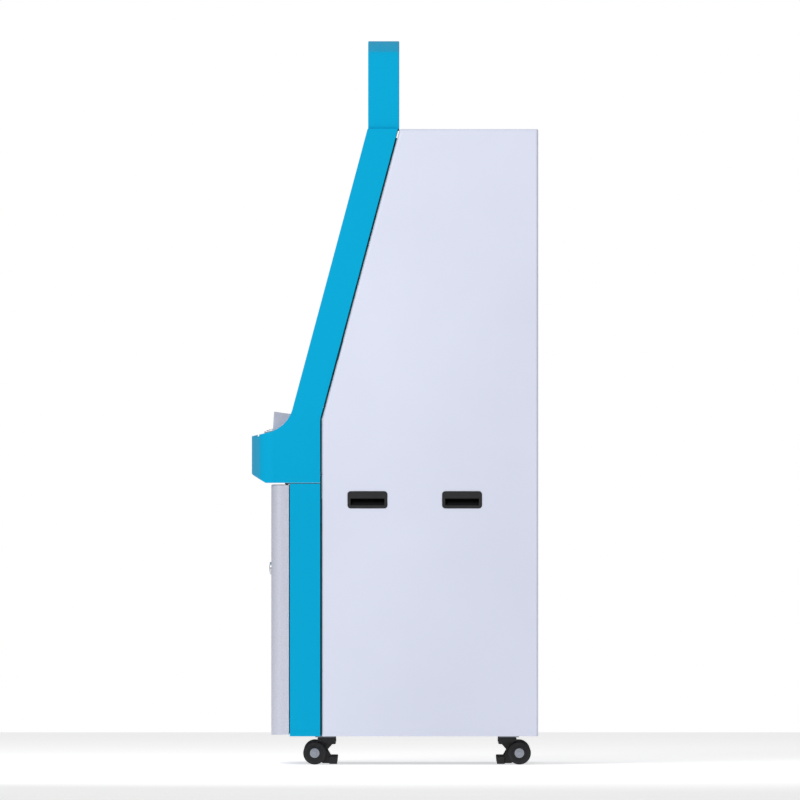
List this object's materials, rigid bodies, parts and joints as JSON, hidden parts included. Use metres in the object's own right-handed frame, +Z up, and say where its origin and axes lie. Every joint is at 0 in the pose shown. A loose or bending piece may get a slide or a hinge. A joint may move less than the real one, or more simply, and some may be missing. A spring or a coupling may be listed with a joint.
{
  "type": "atm machine",
  "caption": "Free-standing lobby cash machine: grey steel cabinet on braked castors, hinged front with shelf and keypad, arched header, vault door.",
  "frame": {"origin": "on the floor, under the middle of the overall box", "axes": "+Z up, -Y towards the customer, +X to the customer's right"},
  "size_m": [0.6, 0.746, 1.885],
  "materials": {
    "black_plastic": "fine grain",
    "bright_steel": "brushed",
    "cyan_paint": "satin powder coat",
    "fascia_grey": "satin dark grey",
    "frame_steel": "zinc-grey primer",
    "glass": "touch glass",
    "grey_paint": "fine satin powder coat",
    "grey_plastic": "fine grain",
    "hood_smoke": "translucent tinted",
    "light_panel": "opal acrylic",
    "module_grey": "moulded and sheet modules",
    "paper": "thermal paper",
    "safe_paint": "hammered paint",
    "silver_paint": "metallic silver paint",
    "wheel_tread": "hard rubber"
  },
  "bodies": {
    "root": {"cabinet_frame": "frame_steel", "right_side_panel": "grey_paint", "left_side_panel": "grey_paint", "carry_handles": "black_plastic", "top_cover": "grey_paint", "lower_front_frame": "cyan_paint", "hinge_pins": "bright_steel", "safe_body": "safe_paint", "cash_dispenser": "module_grey", "computer": "module_grey", "mains_inlet": "black_plastic"},
    "upper_front": {"upper_front_frame": "cyan_paint", "fascia_panel": "fascia_grey", "touch_screen": "glass", "lcd_monitor": "black_plastic", "card_reader": "black_plastic", "receipt_printer": "black_plastic", "cash_slot_bezel": "grey_plastic", "crest_housing": "cyan_paint", "crest_light_panel": "light_panel", "pinpad_body": "bright_steel", "privacy_hood": "hood_smoke"},
    "lower_door": {"lower_door_cover": "silver_paint", "vault_door": "safe_paint"},
    "door_lock": {"door_lock": "bright_steel"},
    "lock_bolts": {"lock_bolts": "bright_steel"},
    "rear_door": {"rear_door": "grey_paint"},
    "rear_door_lock": {"rear_door_lock": "bright_steel"},
    "cash_shutter": {"cash_shutter": "bright_steel"},
    "paper_roll": {"paper_roll": "paper"},
    "cassette_1": {"cassette_1": "grey_plastic"},
    "cassette_2": {"cassette_2": "grey_plastic"},
    "key_0": {"key_0": "bright_steel"},
    "key_1": {"key_1": "bright_steel"},
    "key_2": {"key_2": "bright_steel"},
    "key_3": {"key_3": "bright_steel"},
    "key_4": {"key_4": "bright_steel"},
    "key_5": {"key_5": "bright_steel"},
    "key_6": {"key_6": "bright_steel"},
    "key_7": {"key_7": "bright_steel"},
    "key_8": {"key_8": "bright_steel"},
    "key_9": {"key_9": "bright_steel"},
    "key_blank_left": {"key_blank_left": "bright_steel"},
    "key_blank_right": {"key_blank_right": "bright_steel"},
    "key_cancel": {"key_cancel": "bright_steel"},
    "key_clear": {"key_clear": "bright_steel"},
    "key_enter": {"key_enter": "bright_steel"},
    "key_point": {"key_point": "bright_steel"},
    "castor_body_front_left": {"castor_body_front_left": "black_plastic"},
    "castor_wheels_front_left": {"castor_wheels_front_left": "wheel_tread"},
    "castor_pedal_front_left": {"castor_pedal_front_left": "black_plastic"},
    "castor_body_front_right": {"castor_body_front_right": "black_plastic"},
    "castor_wheels_front_right": {"castor_wheels_front_right": "wheel_tread"},
    "castor_pedal_front_right": {"castor_pedal_front_right": "black_plastic"},
    "castor_body_rear_left": {"castor_body_rear_left": "black_plastic"},
    "castor_wheels_rear_left": {"castor_wheels_rear_left": "wheel_tread"},
    "castor_pedal_rear_left": {"castor_pedal_rear_left": "black_plastic"},
    "castor_body_rear_right": {"castor_body_rear_right": "black_plastic"},
    "castor_wheels_rear_right": {"castor_wheels_rear_right": "wheel_tread"},
    "castor_pedal_rear_right": {"castor_pedal_rear_right": "black_plastic"}
  },
  "joints": [
    {"name": "upper_front_hinge", "type": "hinge", "parent": "root", "child": "upper_front", "pos_m": [-0.291, -0.203, 0.9], "axis": [0, 0, -1], "range_deg": [0, 90]},
    {"name": "lower_door_hinge", "type": "hinge", "parent": "root", "child": "lower_door", "pos_m": [-0.292, -0.283, 0.4], "axis": [0, 0, -1], "range_deg": [0, 100]},
    {"name": "rear_door_hinge", "type": "hinge", "parent": "root", "child": "rear_door", "pos_m": [-0.274, 0.366, 0.9], "axis": [0, 0, 1], "range_deg": [0, 100]},
    {"name": "door_lock_turn", "type": "hinge", "parent": "lower_door", "child": "door_lock", "pos_m": [0.15, -0.321, 0.51], "axis": [0, 1, 0], "range_deg": [0, 90]},
    {"name": "lock_bolts_slide", "type": "slide", "parent": "lower_door", "child": "lock_bolts", "axis": [1, 0, 0], "range_m": [0, 0.022]},
    {"name": "rear_lock_turn", "type": "hinge", "parent": "rear_door", "child": "rear_door_lock", "pos_m": [0.232, 0.37, 0.9], "axis": [0, -1, 0], "range_deg": [0, 90]},
    {"name": "shutter_slide", "type": "slide", "parent": "upper_front", "child": "cash_shutter", "axis": [0, -0.2588, -0.9659], "range_m": [0, 0.031]},
    {"name": "paper_roll_turn", "type": "hinge", "parent": "upper_front", "child": "paper_roll", "pos_m": [-0.14, -0.0623, 1.07067], "axis": [1, 0, 0], "continuous": true},
    {"name": "cassette_1_slide", "type": "slide", "parent": "root", "child": "cassette_1", "axis": [0, -1, 0], "range_m": [0, 0.036]},
    {"name": "cassette_2_slide", "type": "slide", "parent": "root", "child": "cassette_2", "axis": [0, -1, 0], "range_m": [0, 0.036]},
    {"name": "key_0_press", "type": "slide", "parent": "upper_front", "child": "key_0", "axis": [0, 0.225, -0.9744], "range_m": [0, 0.002], "stiffness_N_per_m": 200, "springref_m": -0.002},
    {"name": "key_1_press", "type": "slide", "parent": "upper_front", "child": "key_1", "axis": [0, 0.225, -0.9744], "range_m": [0, 0.002], "stiffness_N_per_m": 200, "springref_m": -0.002},
    {"name": "key_2_press", "type": "slide", "parent": "upper_front", "child": "key_2", "axis": [0, 0.225, -0.9744], "range_m": [0, 0.002], "stiffness_N_per_m": 200, "springref_m": -0.002},
    {"name": "key_3_press", "type": "slide", "parent": "upper_front", "child": "key_3", "axis": [0, 0.225, -0.9744], "range_m": [0, 0.002], "stiffness_N_per_m": 200, "springref_m": -0.002},
    {"name": "key_4_press", "type": "slide", "parent": "upper_front", "child": "key_4", "axis": [0, 0.225, -0.9744], "range_m": [0, 0.002], "stiffness_N_per_m": 200, "springref_m": -0.002},
    {"name": "key_5_press", "type": "slide", "parent": "upper_front", "child": "key_5", "axis": [0, 0.225, -0.9744], "range_m": [0, 0.002], "stiffness_N_per_m": 200, "springref_m": -0.002},
    {"name": "key_6_press", "type": "slide", "parent": "upper_front", "child": "key_6", "axis": [0, 0.225, -0.9744], "range_m": [0, 0.002], "stiffness_N_per_m": 200, "springref_m": -0.002},
    {"name": "key_7_press", "type": "slide", "parent": "upper_front", "child": "key_7", "axis": [0, 0.225, -0.9744], "range_m": [0, 0.002], "stiffness_N_per_m": 200, "springref_m": -0.002},
    {"name": "key_8_press", "type": "slide", "parent": "upper_front", "child": "key_8", "axis": [0, 0.225, -0.9744], "range_m": [0, 0.002], "stiffness_N_per_m": 200, "springref_m": -0.002},
    {"name": "key_9_press", "type": "slide", "parent": "upper_front", "child": "key_9", "axis": [0, 0.225, -0.9744], "range_m": [0, 0.002], "stiffness_N_per_m": 200, "springref_m": -0.002},
    {"name": "key_blank_left_press", "type": "slide", "parent": "upper_front", "child": "key_blank_left", "axis": [0, 0.225, -0.9744], "range_m": [0, 0.002], "stiffness_N_per_m": 200, "springref_m": -0.002},
    {"name": "key_blank_right_press", "type": "slide", "parent": "upper_front", "child": "key_blank_right", "axis": [0, 0.225, -0.9744], "range_m": [0, 0.002], "stiffness_N_per_m": 200, "springref_m": -0.002},
    {"name": "key_cancel_press", "type": "slide", "parent": "upper_front", "child": "key_cancel", "axis": [0, 0.225, -0.9744], "range_m": [0, 0.002], "stiffness_N_per_m": 200, "springref_m": -0.002},
    {"name": "key_clear_press", "type": "slide", "parent": "upper_front", "child": "key_clear", "axis": [0, 0.225, -0.9744], "range_m": [0, 0.002], "stiffness_N_per_m": 200, "springref_m": -0.002},
    {"name": "key_enter_press", "type": "slide", "parent": "upper_front", "child": "key_enter", "axis": [0, 0.225, -0.9744], "range_m": [0, 0.002], "stiffness_N_per_m": 200, "springref_m": -0.002},
    {"name": "key_point_press", "type": "slide", "parent": "upper_front", "child": "key_point", "axis": [0, 0.225, -0.9744], "range_m": [0, 0.002], "stiffness_N_per_m": 200, "springref_m": -0.002},
    {"name": "castor_swivel_front_left", "type": "hinge", "parent": "root", "child": "castor_body_front_left", "pos_m": [-0.235, -0.181, 0.06], "axis": [0, 0, 1], "continuous": true},
    {"name": "castor_wheels_turn_front_left", "type": "hinge", "parent": "castor_body_front_left", "child": "castor_wheels_front_left", "pos_m": [-0.235, -0.2083, 0.03], "axis": [1, 0, 0], "continuous": true},
    {"name": "castor_pedal_lift_front_left", "type": "hinge", "parent": "castor_body_front_left", "child": "castor_pedal_front_left", "pos_m": [-0.235, -0.2083, 0.03], "axis": [1, 0, 0], "range_deg": [0, 15]},
    {"name": "castor_swivel_front_right", "type": "hinge", "parent": "root", "child": "castor_body_front_right", "pos_m": [0.235, -0.181, 0.06], "axis": [0, 0, 1], "continuous": true},
    {"name": "castor_wheels_turn_front_right", "type": "hinge", "parent": "castor_body_front_right", "child": "castor_wheels_front_right", "pos_m": [0.235, -0.2083, 0.03], "axis": [1, 0, 0], "continuous": true},
    {"name": "castor_pedal_lift_front_right", "type": "hinge", "parent": "castor_body_front_right", "child": "castor_pedal_front_right", "pos_m": [0.235, -0.2083, 0.03], "axis": [1, 0, 0], "range_deg": [0, 15]},
    {"name": "castor_swivel_rear_left", "type": "hinge", "parent": "root", "child": "castor_body_rear_left", "pos_m": [-0.235, 0.297, 0.06], "axis": [0, 0, 1], "continuous": true},
    {"name": "castor_wheels_turn_rear_left", "type": "hinge", "parent": "castor_body_rear_left", "child": "castor_wheels_rear_left", "pos_m": [-0.235, 0.3243, 0.03], "axis": [1, 0, 0], "continuous": true},
    {"name": "castor_pedal_lift_rear_left", "type": "hinge", "parent": "castor_body_rear_left", "child": "castor_pedal_rear_left", "pos_m": [-0.235, 0.3243, 0.03], "axis": [-1, 0, 0], "range_deg": [0, 15]},
    {"name": "castor_swivel_rear_right", "type": "hinge", "parent": "root", "child": "castor_body_rear_right", "pos_m": [0.235, 0.297, 0.06], "axis": [0, 0, 1], "continuous": true},
    {"name": "castor_wheels_turn_rear_right", "type": "hinge", "parent": "castor_body_rear_right", "child": "castor_wheels_rear_right", "pos_m": [0.235, 0.3243, 0.03], "axis": [1, 0, 0], "continuous": true},
    {"name": "castor_pedal_lift_rear_right", "type": "hinge", "parent": "castor_body_rear_right", "child": "castor_pedal_rear_right", "pos_m": [0.235, 0.3243, 0.03], "axis": [-1, 0, 0], "range_deg": [0, 15]}
  ],
  "couplings": [
    {"joint": "door_lock_turn", "follows": "lock_bolts_slide", "rad_per_m": 71.4}
  ]
}
